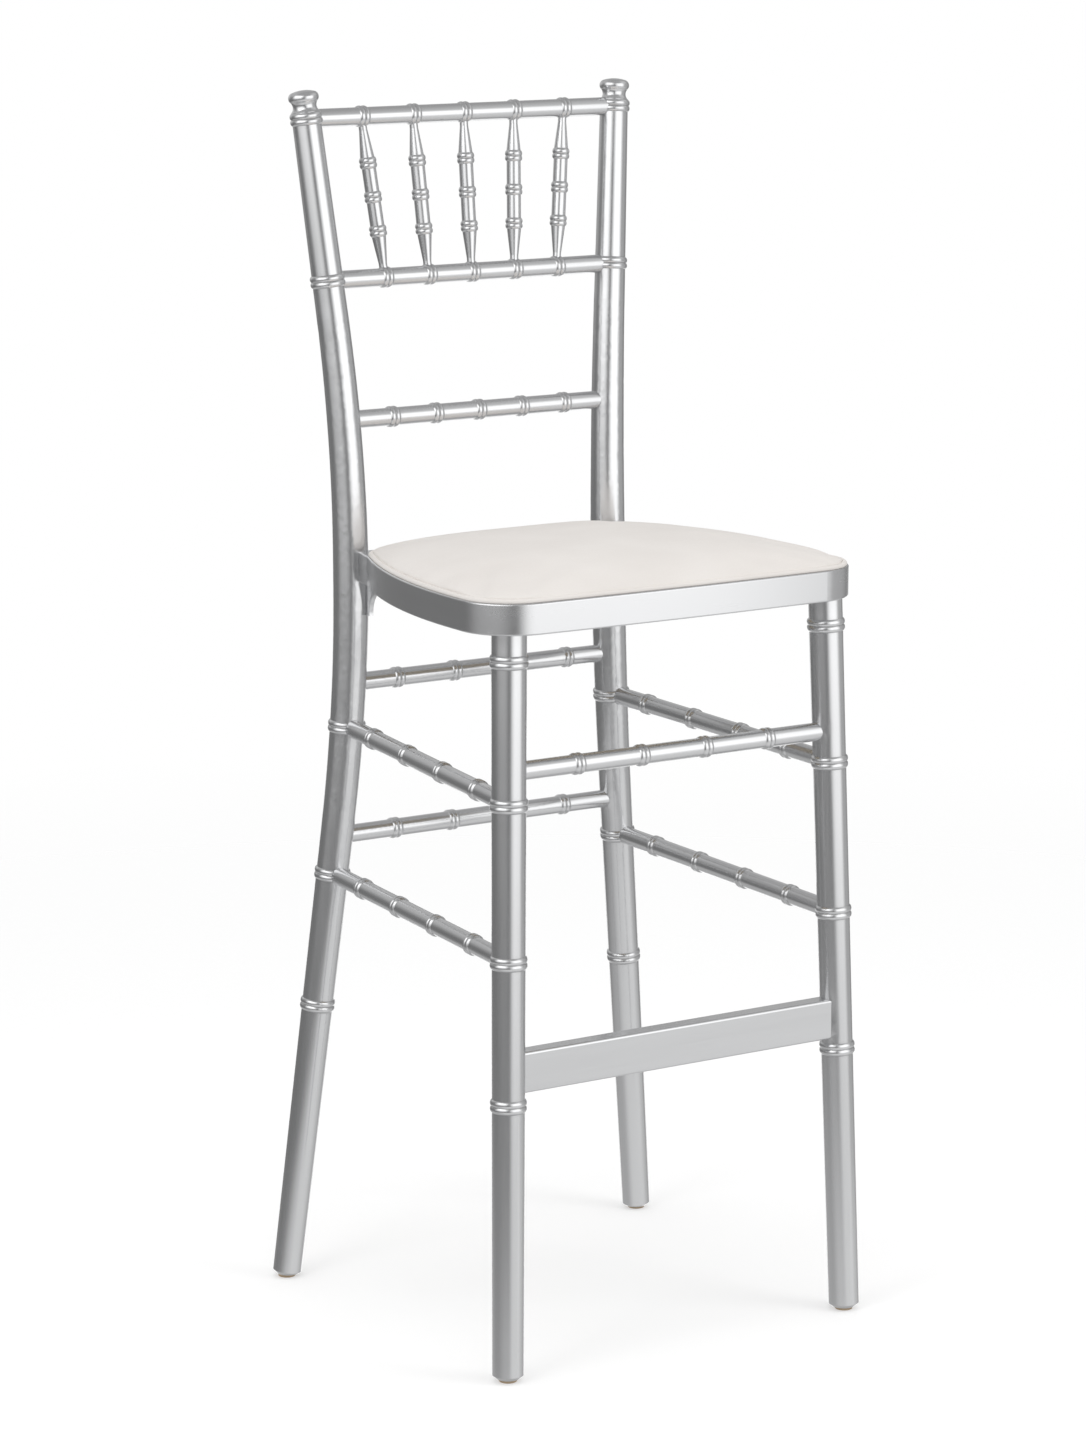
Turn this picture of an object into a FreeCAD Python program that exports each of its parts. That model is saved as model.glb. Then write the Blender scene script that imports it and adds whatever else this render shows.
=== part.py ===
import FreeCAD, Part
import math
import os
from FreeCAD import Vector

# Ballroom bar stool with bamboo-ring turnings, a fan of spindles and a drop-in padded seat.
# Millimetres. The origin is on the floor under the middle of the stool, +Z is up, the sitter
# faces -Y, and left is -X, as seen from the front.

# Seat frame
SEAT_WIDTH = 418.0
SEAT_DEPTH = 341.0
SEAT_SETBACK = -25.2            # middle of the seat, from the middle of the floor print
SEAT_UNDERSIDE = 693.0
SEAT_BAND = 29.0                # height of the frame's outer face
SIDE_BOW_RADIUS = 600.0
SIDE_WIDEST = 61.0              # widest place, behind the front edge
FRONT_BOW = 4.0
FRONT_CORNER_RADIUS = 52.0
EAR_LENGTH = 32.0               # straight end of each side, in front of the back edge
EAR_TURN = 11.0                 # degrees, outwards from the bowed side that the ear leaves
EAR_ROUND = 40.0                # hollow where an ear runs into the bowed side
RAIL_BREADTH = 48.0
LIP_BREADTH = 8.0               # wall around the drop-in seat at the front and sides
BACK_LIP_BREADTH = 21.0
LEDGE_DEPTH = 10.5              # from the top of the lip to the ledge under the seat
RIM_ROUND = 1.6

# Rear posts: a straight foot, one long bend and a straight top
POST_BEND_X = 136.0             # where the two straight runs would meet
POST_BEND_BEHIND = 1.7          # the same place, behind the seat's back edge
POST_BEND_ABOVE = 6.0           # the same place, above the seat's underside
POST_FOOT_SPLAY_X = 71.8
POST_FOOT_SPLAY_Y = 43.2
POST_TOP_FLARE_X = 38.0         # from the bend to the crest rail
POST_TOP_RAKE_Y = 40.3
POST_BEND_RADIUS = 2000.0
POST_BEND_STEPS = 8             # stretches of the skin along the bend
BEND_FINENESS = 1e-9            # a height on the bend is found this finely
POST_FOOT_DIAMETER = 28.0
POST_SEAT_DIAMETER = 34.0
POST_TOP_DIAMETER = 27.4
KNOB_DIAMETER = 29.0
KNOB_HEIGHT = 11.0
KNOB_NECK_DIAMETER = 22.5
KNOB_NECK_LENGTH = 9.5
KNOB_WAIST = 0.55               # where the neck is thinnest, as a share of its length
KNOB_BRIM = 0.87                # radius at the knob's underside, as a share of its widest
KNOB_WIDEST = 0.4               # where the knob is widest, as a share of its height
KNOB_DOME = 0.8                 # radius where the dome starts, as a share of the widest
KNOB_DOME_START = 0.82          # the same place, as a share of the knob's height

# Front legs
LEG_INSET_X = 33.6              # axis at the seat, inside the seat's widest place
LEG_INSET_Y = 28.2              # axis at the seat, behind the seat's front
LEG_SPLAY_X = 16.4
LEG_SPLAY_Y = 21.7
LEG_FOOT_DIAMETER = 29.4
LEG_TOP_DIAMETER = 32.2
LEG_TENON_DIAMETER = 20.0
LEG_TENON_LENGTH = 15.0
FOOT_CHAMFER_HEIGHT = 3.2
FOOT_CHAMFER_BREADTH = 3.6

# Heights of axes above the seat's underside
CREST_ABOVE = 437.0
SPINDLE_RAIL_ABOVE = 285.0
LUMBAR_RAIL_ABOVE = 152.6

# Depths of axes below the seat's underside
REAR_UPPER_BELOW = 100.0
SIDE_UPPER_REAR_BELOW = 142.0
SIDE_UPPER_FRONT_BELOW = 156.5
FRONT_STRETCHER_BELOW = 127.0
LEG_TOP_RING_BELOW = 26.0

# Heights of axes above the floor
REAR_LOWER_HEIGHT = 443.0
SIDE_LOWER_REAR_HEIGHT = 406.0
SIDE_LOWER_FRONT_HEIGHT = 392.0
FOOTREST_HEIGHT = 289.5
POST_FOOT_RING_HEIGHT = 276.0
LEG_FOOT_RING_HEIGHT = 259.5

# Round rails and stretchers
RAIL_DIAMETER = 17.4
RAIL_TENON_DIAMETER = 11.0
RAIL_TENON_PAST_AXIS = 4.0
SOCKET_COVER = 1.0              # a rail's shoulder lies this far inside the leg's skin
CREST_RING_PITCH = 57.0
SPINDLE_FOOT_PITCH = 48.8
REAR_RING_PITCH = 65.0
SIDE_RING_PITCH = 71.0
FRONT_RING_PITCH = 70.5
STRETCHER_RINGS = 4

# Bamboo rings: two beads turned side by side
BEAD_BREADTH = 6.2
BEAD_PROUD = 1.8
VALLEY_PROUD = 0.8
BEAD_ROOT = 0.5                 # a post's ring starts this far under its skin
RAIL_BEAD_BREADTH = 5.4
RAIL_BEAD_PROUD = 1.5

# Spindles
SPINDLE_COUNT = 5
SPINDLE_DIAMETER = 13.6
SPINDLE_NECK_DIAMETER = 8.0
SPINDLE_NECK_LENGTH = 3.0       # straight neck outside the rail's ring
SPINDLE_RINGS = 3
SPINDLE_RING_PITCH = 32.5
SPINDLE_TENON_PAST_AXIS = 4.0

# Footrest board
FOOTREST_DEPTH = 18.0
FOOTREST_BREADTH = 38.5
FOOTREST_ROUND = 2.5
FOOTREST_HOUSING = 9.0          # board's shoulder to the leg's axis
FOOTREST_TENON_DEPTH = 10.0
FOOTREST_TENON_BREADTH = 24.0
FOOTREST_TENON_LENGTH = 8.0

# Corbels under the seat's ears
CORBEL_THICKNESS = 4.5
CORBEL_INSIDE_POST = 10.0       # middle of the corbel, inside the post's axis
CORBEL_HEIGHT = 33.0
CORBEL_REACH = 28.0             # along the seat, in front of the post
CORBEL_TOE = 4.5
CORBEL_HOLLOW_REACH = 0.36      # middle of the hollow edge, as a share of the reach
CORBEL_HOLLOW_DROP = 0.42       # the same place, as a share of the height

# Drop-in seat
COVER_THICKNESS = 1.2
COVER_TURN_UNDER = 22.0
BOARD_THICKNESS = 9.0
PAD_INSET = 4.5                 # padding's edge, inside the frame's outer face
PAD_CROWN = 24.5                # above the lip
PAD_WALL = 3.2                  # upright edge of the padding, above the lip
CROWN_POWER = 2 / 3             # lower is fuller
CROWN_ANGLES = (0, 30, 60, 80)
PAD_UNDER_ROUND = 1.5           # draws the padding's sides in towards the lip
POCKET_CORNER_RADIUS = 26.0

# Dowels, screws and glides
DOWEL_DIAMETER = 8.0
DOWEL_LENGTH = 30.0
POST_DOWEL_SPREAD = 13.0        # between the two dowels of a post joint
POST_DOWEL_INSIDE = 6.0         # dowel axis, inside the post's axis
RAIL_DOWEL_SPREAD = 20.0        # between the two dowels of a seat rail joint
CORNER_LENGTH = 32.0            # from the leg's axis to the front corner joint
REAR_RAIL_HALF = 108.0          # from the middle to the rear corner joint
SCREW_DIAMETER = 4.0
SCREW_HEAD_DIAMETER = 8.0
SCREW_HEAD_HEIGHT = 2.4
SCREW_IN_BOARD = 6.5
SCREW_SPREAD = 120.0            # between the two screws on a side
SCREW_SLOT = 0.9
GLIDE_DIAMETER = 17.0
GLIDE_HEIGHT = 3.0
GLIDE_ROUND = 0.8
NAIL_HEAD_DIAMETER = 7.0
NAIL_HEAD_HEIGHT = 1.2
NAIL_DIAMETER = 3.0
NAIL_LENGTH = 16.0

# Fits
JOINT_GAP = 0.1                 # radial room in a glued round joint
GLUE_WELL = 1.0                 # room past the end of a tenon, dowel, screw or nail
POST_GAP = 0.15                 # seat frame's notch to the post
SEAT_GAP = 0.3                  # drop-in seat to the frame around it
WASTE = 40.0                    # cutting tools run this far past the wood

# Places that follow from the sizes above
UP = Vector(0, 0, 1)
SEAT_FRONT_Y = SEAT_SETBACK - SEAT_DEPTH / 2
SEAT_BACK_Y = SEAT_SETBACK + SEAT_DEPTH / 2
SEAT_TOP = SEAT_UNDERSIDE + SEAT_BAND
LEDGE = SEAT_TOP - LEDGE_DEPTH
BOARD_BOTTOM = LEDGE + COVER_THICKNESS
BOARD_TOP = BOARD_BOTTOM + BOARD_THICKNESS
PAD_WALL_TOP = SEAT_TOP + PAD_WALL
BOARD_INSET = LIP_BREADTH + SEAT_GAP + COVER_THICKNESS
CREST = SEAT_UNDERSIDE + CREST_ABOVE
SPINDLE_RAIL = SEAT_UNDERSIDE + SPINDLE_RAIL_ABOVE
LUMBAR_RAIL = SEAT_UNDERSIDE + LUMBAR_RAIL_ABOVE
REAR_UPPER = SEAT_UNDERSIDE - REAR_UPPER_BELOW
SIDE_UPPER_REAR = SEAT_UNDERSIDE - SIDE_UPPER_REAR_BELOW
SIDE_UPPER_FRONT = SEAT_UNDERSIDE - SIDE_UPPER_FRONT_BELOW
FRONT_STRETCHER = SEAT_UNDERSIDE - FRONT_STRETCHER_BELOW
LEG_TOP_RING = SEAT_UNDERSIDE - LEG_TOP_RING_BELOW
RAIL_RADIUS = RAIL_DIAMETER / 2
POST_BEND = Vector(POST_BEND_X, SEAT_BACK_Y + POST_BEND_BEHIND, SEAT_UNDERSIDE + POST_BEND_ABOVE)
POST_FOOT = Vector(POST_BEND.x + POST_FOOT_SPLAY_X, POST_BEND.y + POST_FOOT_SPLAY_Y, 0)
POST_CREST = Vector(POST_BEND.x + POST_TOP_FLARE_X, POST_BEND.y + POST_TOP_RAKE_Y, CREST)
LEG_TOP = Vector(SEAT_WIDTH / 2 - LEG_INSET_X, SEAT_FRONT_Y + LEG_INSET_Y, SEAT_UNDERSIDE)
LEG_FOOT = Vector(LEG_TOP.x + LEG_SPLAY_X, LEG_TOP.y - LEG_SPLAY_Y, 0)
CORNER_JOINT_Y = LEG_TOP.y + CORNER_LENGTH


class Outline:
    """Half outline of a turning, radius against length, drawn from one end to the other."""

    def __init__(self, length):
        self.edges = []
        self.start = Vector(0, 0, length)
        self.pen = self.start

    def line(self, radius, length):
        point = Vector(radius, 0, length)
        self.edges.append(Part.makeLine(self.pen, point))
        self.pen = point

    def arc(self, middle_radius, middle_length, radius, length):
        point = Vector(radius, 0, length)
        middle = Vector(middle_radius, 0, middle_length)
        self.edges.append(Part.Arc(self.pen, middle, point).toShape())
        self.pen = point

    def cap(self, length):
        """Ball-shaped end that closes on the axis."""
        rise = length - self.pen.z
        ball = (self.pen.x ** 2 + rise ** 2) / (2 * rise)
        half = math.asin(self.pen.x / ball) / 2
        self.arc(ball * math.sin(half), length - ball + ball * math.cos(half), 0, length)

    def double_bead(self, middle, core, root, breadth, proud):
        """Two beads around `middle` on wood of radius `core`, from and to the radius `root`."""
        self.line(root, middle - breadth)
        self.arc(core + proud, middle - breadth / 2, core + VALLEY_PROUD, middle)
        self.arc(core + proud, middle + breadth / 2, root, middle + breadth)

    def turn(self):
        if self.pen.x > 0:
            self.line(0, self.pen.z)
        self.edges.append(Part.makeLine(self.pen, self.start))
        return Part.Face(Part.Wire(self.edges)).revolve(Vector(0, 0, 0), UP, 360)


def laid(shape, start, end):
    """Lays a shape whose length is +Z from start towards end."""
    copy = shape.copy()
    copy.Placement = FreeCAD.Placement(start, FreeCAD.Rotation(UP, end.sub(start)))
    return copy


def mirrored(shape):
    return shape.mirror(Vector(0, 0, 0), Vector(1, 0, 0))


def flip(point):
    return Vector(-point.x, point.y, point.z)


def between(start, end, height):
    """Point at a height on the line through start and end."""
    return start.add(end.sub(start) * ((height - start.z) / (end.z - start.z)))


def level_slab(bottom, top):
    half = SEAT_WIDTH + SEAT_DEPTH
    return Part.makeBox(2 * half, 2 * half, top - bottom, Vector(-half, -half, bottom))


def peg(diameter, start, end):
    return Part.makeCylinder(diameter / 2, end.sub(start).Length, start, end.sub(start))


def spread(count, pitch):
    """Places of `count` things at a pitch, about their middle."""
    return [(number - (count - 1) / 2) * pitch for number in range(count)]


def bend_of_post():
    """The arc that joins the right post's two straight runs."""
    down = POST_FOOT.sub(POST_BEND).normalize()
    up = POST_CREST.sub(POST_BEND).normalize()
    half_angle = down.getAngle(up) / 2
    reach = POST_BEND_RADIUS / math.tan(half_angle)
    hollow = down.add(up).normalize()
    depth = POST_BEND_RADIUS / math.sin(half_angle) - POST_BEND_RADIUS
    return Part.Arc(POST_BEND + down * reach, POST_BEND + hollow * depth, POST_BEND + up * reach)


BEND = bend_of_post()
BEND_START = BEND.value(BEND.FirstParameter)
BEND_END = BEND.value(BEND.LastParameter)


def post_point(height):
    """Point on the right post's axis at a height."""
    if height <= BEND_START.z:
        return between(POST_FOOT, BEND_START, height)
    if height >= BEND_END.z:
        return between(BEND_END, POST_CREST, height)
    low = BEND.FirstParameter
    high = BEND.LastParameter
    while high - low > BEND_FINENESS:
        middle = (low + high) / 2
        if BEND.value(middle).z < height:
            low = middle
        else:
            high = middle
    return BEND.value(low)


def post_radius(height):
    """The post is fattest at the seat and slims towards both ends."""
    end_height, end_diameter = (0, POST_FOOT_DIAMETER)
    if height > POST_BEND.z:
        end_height, end_diameter = (CREST, POST_TOP_DIAMETER)
    share = (height - POST_BEND.z) / (end_height - POST_BEND.z)
    return (POST_SEAT_DIAMETER + (end_diameter - POST_SEAT_DIAMETER) * share) / 2


def leg_point(height):
    return between(LEG_FOOT, LEG_TOP, height)


def leg_radius(height):
    share = height / LEG_TOP.z
    return (LEG_FOOT_DIAMETER + (LEG_TOP_DIAMETER - LEG_FOOT_DIAMETER) * share) / 2


# Rails
def shoulder(leg_radius_there):
    """From a leg's axis to the shoulder of a rail that is let into it."""
    return math.sqrt(leg_radius_there ** 2 - RAIL_RADIUS ** 2) - SOCKET_COVER


def rail(start, end, start_radius, end_radius, ring_places):
    """Round rail between two legs' axes, with its tenons and its rings about the middle."""
    length = end.sub(start).Length
    near = shoulder(start_radius)
    far = length - shoulder(end_radius)
    tenon = RAIL_TENON_DIAMETER / 2
    outline = Outline(-RAIL_TENON_PAST_AXIS)
    outline.line(tenon, -RAIL_TENON_PAST_AXIS)
    outline.line(tenon, near)
    outline.line(RAIL_RADIUS, near)
    for place in ring_places:
        outline.double_bead(length / 2 + place, RAIL_RADIUS, RAIL_RADIUS,
                            RAIL_BEAD_BREADTH, RAIL_BEAD_PROUD)
    outline.line(RAIL_RADIUS, far)
    outline.line(tenon, far)
    outline.line(tenon, length + RAIL_TENON_PAST_AXIS)
    return laid(outline.turn(), start, end)


def socket(start, end, start_radius):
    """What a rail's end takes out of the leg at its start."""
    seat = shoulder(start_radius)
    bottom = -RAIL_TENON_PAST_AXIS - GLUE_WELL
    hole = RAIL_TENON_DIAMETER / 2 + JOINT_GAP
    mouth = RAIL_RADIUS + JOINT_GAP
    outline = Outline(bottom)
    outline.line(hole, bottom)
    outline.line(hole, seat)
    outline.line(mouth, seat)
    outline.line(mouth, seat + WASTE)
    return laid(outline.turn(), start, end)


def cross_rail(point, radius, height, ring_places):
    right = point(height)
    return rail(flip(right), right, radius(height), radius(height), ring_places)


def cross_socket(point, radius, height):
    right = point(height)
    return socket(right, flip(right), radius(height))


SIDE_LEVELS = {
    "upper": (SIDE_UPPER_FRONT, SIDE_UPPER_REAR),
    "lower": (SIDE_LOWER_FRONT_HEIGHT, SIDE_LOWER_REAR_HEIGHT),
}


def side_stretcher(front_height, rear_height):
    return rail(leg_point(front_height), post_point(rear_height), leg_radius(front_height),
                post_radius(rear_height), spread(STRETCHER_RINGS, SIDE_RING_PITCH))


# Legs and posts
def foot_chamfer(foot, radius, above):
    """Ring of waste that leaves a chamfer around the end of a leg."""
    slope = FOOT_CHAMFER_BREADTH / FOOT_CHAMFER_HEIGHT
    below = radius / 4
    height = FOOT_CHAMFER_HEIGHT + below
    waste = Part.makeCylinder(radius + WASTE, height, UP * -below)
    kept = Part.makeCone(radius - slope * height, radius, height, UP * -below)
    return laid(waste.cut(kept), foot, above)


def nail_hole(foot):
    diameter = NAIL_DIAMETER + 2 * JOINT_GAP
    top = GLIDE_HEIGHT + NAIL_LENGTH + GLUE_WELL - NAIL_HEAD_HEIGHT
    return peg(diameter, Vector(foot.x, foot.y, 0), Vector(foot.x, foot.y, top))


def front_leg():
    """Right front leg: a tapered turning with a round tenon into the seat's front rail."""
    lean = LEG_TOP.sub(LEG_FOOT).Length / LEG_TOP.z
    bottom = -WASTE
    top = (LEG_TOP.z + WASTE) * lean
    outline = Outline(bottom)
    outline.line(leg_radius(bottom / lean), bottom)
    heights = (LEG_FOOT_RING_HEIGHT, SIDE_LOWER_FRONT_HEIGHT, SIDE_UPPER_FRONT, LEG_TOP_RING)
    for height in heights:
        radius = leg_radius(height)
        outline.double_bead(height * lean, radius, radius, BEAD_BREADTH, BEAD_PROUD)
    outline.line(leg_radius(top / lean), top)
    leg = laid(outline.turn(), LEG_FOOT, LEG_TOP)
    leg = leg.common(level_slab(GLIDE_HEIGHT, LEG_TOP.z))
    leg = leg.fuse(peg(LEG_TENON_DIAMETER, LEG_TOP, LEG_TOP + UP * LEG_TENON_LENGTH))
    foot = leg_point(GLIDE_HEIGHT)
    waste = [foot_chamfer(foot, leg_radius(GLIDE_HEIGHT), LEG_TOP), nail_hole(foot)]
    waste.append(cross_socket(leg_point, leg_radius, FRONT_STRETCHER))
    waste.append(footrest(JOINT_GAP))
    for front, rear in SIDE_LEVELS.values():
        waste.append(socket(leg_point(front), post_point(rear), leg_radius(front)))
    return leg.cut(waste)


def post_bend(extra):
    """Bent stretch of the right post, with `extra` on its radius."""
    circles = []
    reach = BEND.LastParameter - BEND.FirstParameter
    for step in range(POST_BEND_STEPS + 1):
        at = BEND.FirstParameter + reach * step / POST_BEND_STEPS
        point = BEND.value(at)
        circle = Part.Circle(point, BEND.tangent(at)[0], post_radius(point.z) + extra)
        circles.append(Part.Wire(circle.toShape()))
    return Part.makeLoft(circles, True, False)


def post_foot():
    length = BEND_START.sub(POST_FOOT).Length
    radius = POST_FOOT_DIAMETER / 2
    return laid(Part.makeCone(radius, post_radius(BEND_START.z), length), POST_FOOT, BEND_START)


def post_top():
    """Straight top of the right post, with a cove and a mushroom knob above the last ring."""
    crest = POST_CREST.sub(BEND_END).Length
    neck = crest + BEAD_BREADTH
    knob = neck + KNOB_NECK_LENGTH
    neck_radius = KNOB_NECK_DIAMETER / 2
    knob_radius = KNOB_DIAMETER / 2
    outline = Outline(0)
    outline.line(post_radius(BEND_END.z), 0)
    outline.line(post_radius(CREST), crest)
    outline.line(post_radius(CREST), neck)
    waist = neck + KNOB_WAIST * KNOB_NECK_LENGTH
    widest = knob + KNOB_WIDEST * KNOB_HEIGHT
    dome = knob + KNOB_DOME_START * KNOB_HEIGHT
    outline.arc(neck_radius, waist, KNOB_BRIM * knob_radius, knob)
    outline.arc(knob_radius, widest, KNOB_DOME * knob_radius, dome)
    outline.cap(knob + KNOB_HEIGHT)
    return laid(outline.turn(), BEND_END, POST_CREST)


def post_ring(height):
    """Double bead around the right post, square to its axis."""
    core = post_radius(height)
    root = core - BEAD_ROOT
    outline = Outline(-BEAD_BREADTH)
    outline.double_bead(0, core, root, BEAD_BREADTH, BEAD_PROUD)
    return laid(outline.turn(), post_point(height), post_point(height + BEAD_BREADTH))


def rear_post():
    """Right rear post: floor to knob in one bent turning, with a socket for each rail."""
    heights = (POST_FOOT_RING_HEIGHT, SIDE_LOWER_REAR_HEIGHT, SIDE_UPPER_REAR, SPINDLE_RAIL, CREST)
    pieces = [post_bend(0), post_top()] + [post_ring(height) for height in heights]
    post = post_foot().multiFuse(pieces)
    post = post.common(level_slab(GLIDE_HEIGHT, CREST + SEAT_WIDTH))
    foot = post_point(GLIDE_HEIGHT)
    waste = [foot_chamfer(foot, post_radius(GLIDE_HEIGHT), POST_BEND), nail_hole(foot)]
    for height in (CREST, SPINDLE_RAIL, LUMBAR_RAIL, REAR_UPPER, REAR_LOWER_HEIGHT):
        waste.append(cross_socket(post_point, post_radius, height))
    for front, rear in SIDE_LEVELS.values():
        waste.append(socket(post_point(rear), leg_point(front), post_radius(rear)))
    for dowel in post_dowels(JOINT_GAP):
        waste.append(dowel)
    return post.cut(waste)


# Back
def spindle_ends(place):
    """A spindle's ends on the axes of the spindle rail and the crest rail."""
    low = post_point(SPINDLE_RAIL)
    high = post_point(CREST)
    foot = Vector(place * SPINDLE_FOOT_PITCH, low.y, low.z)
    head = Vector(place * CREST_RING_PITCH, high.y, high.z)
    return foot, head


def spindle(place):
    """Turned spindle: thin necks let into the rails, a tapered run and three rings."""
    foot, head = spindle_ends(place)
    length = head.sub(foot).Length
    past = SPINDLE_TENON_PAST_AXIS
    neck = SPINDLE_NECK_DIAMETER / 2
    body = SPINDLE_DIAMETER / 2
    bare = RAIL_RADIUS + RAIL_BEAD_PROUD + SPINDLE_NECK_LENGTH
    outline = Outline(-past)
    outline.line(neck, -past)
    outline.line(neck, bare)
    for ring in spread(SPINDLE_RINGS, SPINDLE_RING_PITCH):
        outline.double_bead(length / 2 + ring, body, body, RAIL_BEAD_BREADTH, RAIL_BEAD_PROUD)
    outline.line(neck, length - bare)
    outline.line(neck, length + past)
    return laid(outline.turn(), foot, head)


def spindle_holes(rail_shape):
    """Bores a rail for every spindle, to just past the spindle's end."""
    diameter = SPINDLE_NECK_DIAMETER + 2 * JOINT_GAP
    reach = SPINDLE_TENON_PAST_AXIS + GLUE_WELL
    bores = []
    for place in spread(SPINDLE_COUNT, 1):
        foot, head = spindle_ends(place)
        step = head.sub(foot).normalize() * reach
        bores.append(peg(diameter, foot - step, foot + step + step + step))
        bores.append(peg(diameter, head - step - step - step, head + step))
    return rail_shape.cut(bores)


# Footrest
def footrest(extra):
    """Flat board between the front legs, tenoned at both ends, with `extra` all round it."""
    middle = leg_point(FOOTREST_HEIGHT)
    half = middle.x - FOOTREST_HOUSING
    depth = FOOTREST_DEPTH + 2 * extra
    breadth = FOOTREST_BREADTH + 2 * extra
    corner = Vector(-half, middle.y - depth / 2, middle.z - breadth / 2)
    board = Part.makeBox(2 * half, depth, breadth, corner)
    edges = [edge for edge in board.Edges if abs(edge.Vertexes[0].X - edge.Vertexes[1].X) > half]
    board = board.makeFillet(FOOTREST_ROUND, edges)
    tenon_depth = FOOTREST_TENON_DEPTH + 2 * extra
    tenon_breadth = FOOTREST_TENON_BREADTH + 2 * extra
    tip = half + FOOTREST_TENON_LENGTH
    if extra:
        tip += GLUE_WELL
    corner = Vector(-tip, middle.y - tenon_depth / 2, middle.z - tenon_breadth / 2)
    return board.fuse(Part.makeBox(2 * tip, tenon_depth, tenon_breadth, corner))


# Seat frame
def side_x(y, inset):
    """Half width of the bowed seat outline at y, drawn in by an inset."""
    reach = SIDE_BOW_RADIUS - inset
    drop = y - SEAT_FRONT_Y - SIDE_WIDEST
    return SEAT_WIDTH / 2 - SIDE_BOW_RADIUS + math.sqrt(reach ** 2 - drop ** 2)


def side_point(y, inset):
    return Vector(side_x(y, inset), y, 0)


def prism(right_edges, front_y, bottom, top):
    """Solid over an outline: its right half from front to back, mirrored, and a bowed front."""
    corner = right_edges[0].Vertexes[0].Point
    back = right_edges[-1].Vertexes[-1].Point
    front = Part.Arc(flip(corner), Vector(0, front_y, 0), corner).toShape()
    edges = [front] + right_edges + [Part.makeLine(back, flip(back))]
    edges += [mirrored(edge) for edge in right_edges]
    outline = Part.Wire(Part.__sortEdges__(edges))
    outline.translate(UP * bottom)
    return Part.Face(outline).extrude(UP * (top - bottom))


def rounded(solid, points, radius):
    """Rounds the upright edges of a solid at the given points, on both sides of the seat."""
    spots = [point for right in points for point in (right, flip(right))]
    edges = []
    for edge in solid.Edges:
        for spot in spots:
            offsets = [math.hypot(end.X - spot.x, end.Y - spot.y) for end in edge.Vertexes]
            if max(offsets) < JOINT_GAP:
                edges.append(edge)
    return solid.makeFillet(radius, edges)


def seat_prism(inset, back_y, front_radius, back_radius, bottom, top):
    """Seat-shaped solid whose outline lies `inset` inside the frame's outer face."""
    front_y = SEAT_FRONT_Y + inset
    corner_y = front_y + FRONT_BOW
    corner = side_point(corner_y, inset)
    middle = side_point((corner_y + back_y) / 2, inset)
    back = side_point(back_y, inset)
    solid = prism([Part.Arc(corner, middle, back).toShape()], front_y, bottom, top)
    solid = rounded(solid, [corner], front_radius)
    return rounded(solid, [back], back_radius)


def drop_in(inset, bottom, top):
    """Solid with the outline of the drop-in seat, `inset` inside the frame's outer face."""
    back_y = SEAT_BACK_Y - BACK_LIP_BREADTH + LIP_BREADTH - inset
    back_radius = POCKET_CORNER_RADIUS + LIP_BREADTH - inset
    return seat_prism(inset, back_y, FRONT_CORNER_RADIUS - inset, back_radius, bottom, top)


def seat_blank():
    """Outer form of the seat frame: bowed sides, round front corners and two ears."""
    corner_y = SEAT_FRONT_Y + FRONT_BOW
    ear_y = SEAT_BACK_Y - EAR_LENGTH
    corner = side_point(corner_y, 0)
    middle = side_point((corner_y + ear_y) / 2, 0)
    ear = side_point(ear_y, 0)
    lean = math.asin((ear_y - SEAT_FRONT_Y - SIDE_WIDEST) / SIDE_BOW_RADIUS)
    back_x = ear.x - EAR_LENGTH * math.tan(lean - math.radians(EAR_TURN))
    back = Vector(back_x, SEAT_BACK_Y, 0)
    right = [Part.Arc(corner, middle, ear).toShape(), Part.makeLine(ear, back)]
    blank = prism(right, SEAT_FRONT_Y, SEAT_UNDERSIDE, SEAT_TOP)
    blank = rounded(blank, [corner], FRONT_CORNER_RADIUS)
    blank = rounded(blank, [ear], EAR_ROUND)
    arrises = [edge for edge in blank.Edges if edge.BoundBox.ZLength < JOINT_GAP]
    return blank.makeFillet(RIM_ROUND, arrises)


def seat_ring():
    """The seat frame before it is parted into rails, not yet hollowed under the seat board."""
    pocket = drop_in(LIP_BREADTH, LEDGE, SEAT_TOP + WASTE)
    post = post_bend(POST_GAP)
    mortise = peg(LEG_TENON_DIAMETER + 2 * JOINT_GAP, LEG_TOP - UP * WASTE,
                  LEG_TOP + UP * (LEG_TENON_LENGTH + GLUE_WELL))
    right_waste = [post, mortise] + rail_dowels(JOINT_GAP) + post_dowels(JOINT_GAP)
    waste = [pocket] + right_waste + [mirrored(tool) for tool in right_waste]
    waste += [screw(spot, JOINT_GAP) for spot in screw_spots()]
    return seat_blank().cut(waste)


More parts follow.
